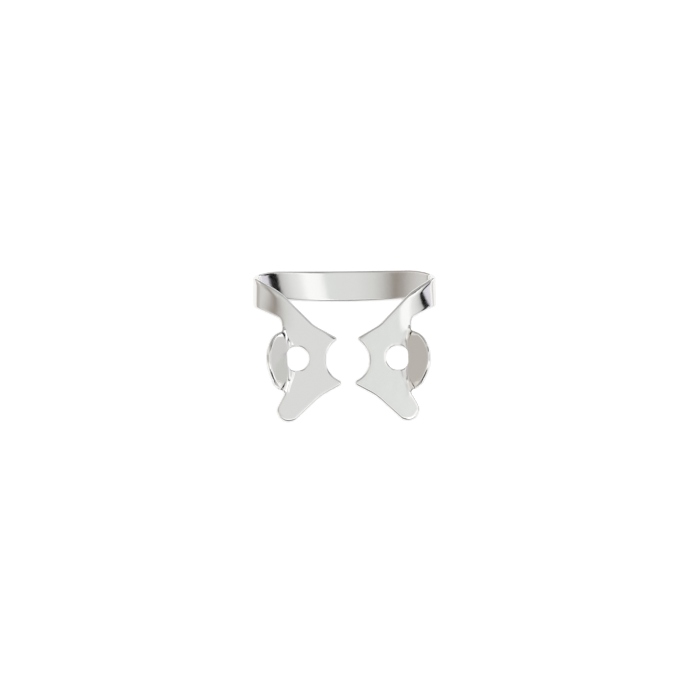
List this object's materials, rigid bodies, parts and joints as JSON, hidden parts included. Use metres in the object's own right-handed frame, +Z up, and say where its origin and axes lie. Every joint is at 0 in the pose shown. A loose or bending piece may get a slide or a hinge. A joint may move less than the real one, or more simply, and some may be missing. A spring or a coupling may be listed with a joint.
{
  "type": "rubber dam clamp",
  "caption": "Winged dental clamp of one bent spring steel sheet: a bow, two arms and two flat jaws with forceps holes that grip a tooth and hold a rubber dam.",
  "frame": {"origin": "middle of the footprint, on the surface that the clamp lies on with its bow and the tips of its two anterior wings", "axes": "+X across the clamp from one jaw to the other, +Y distal (toward the bow), +Z up, away from the surface"},
  "size_m": [0.026, 0.0234, 0.0068],
  "materials": {
    "spring_steel": "polished, tumbled edges"
  },
  "bodies": {
    "root": {"clamp": "spring_steel"}
  },
  "joints": []
}
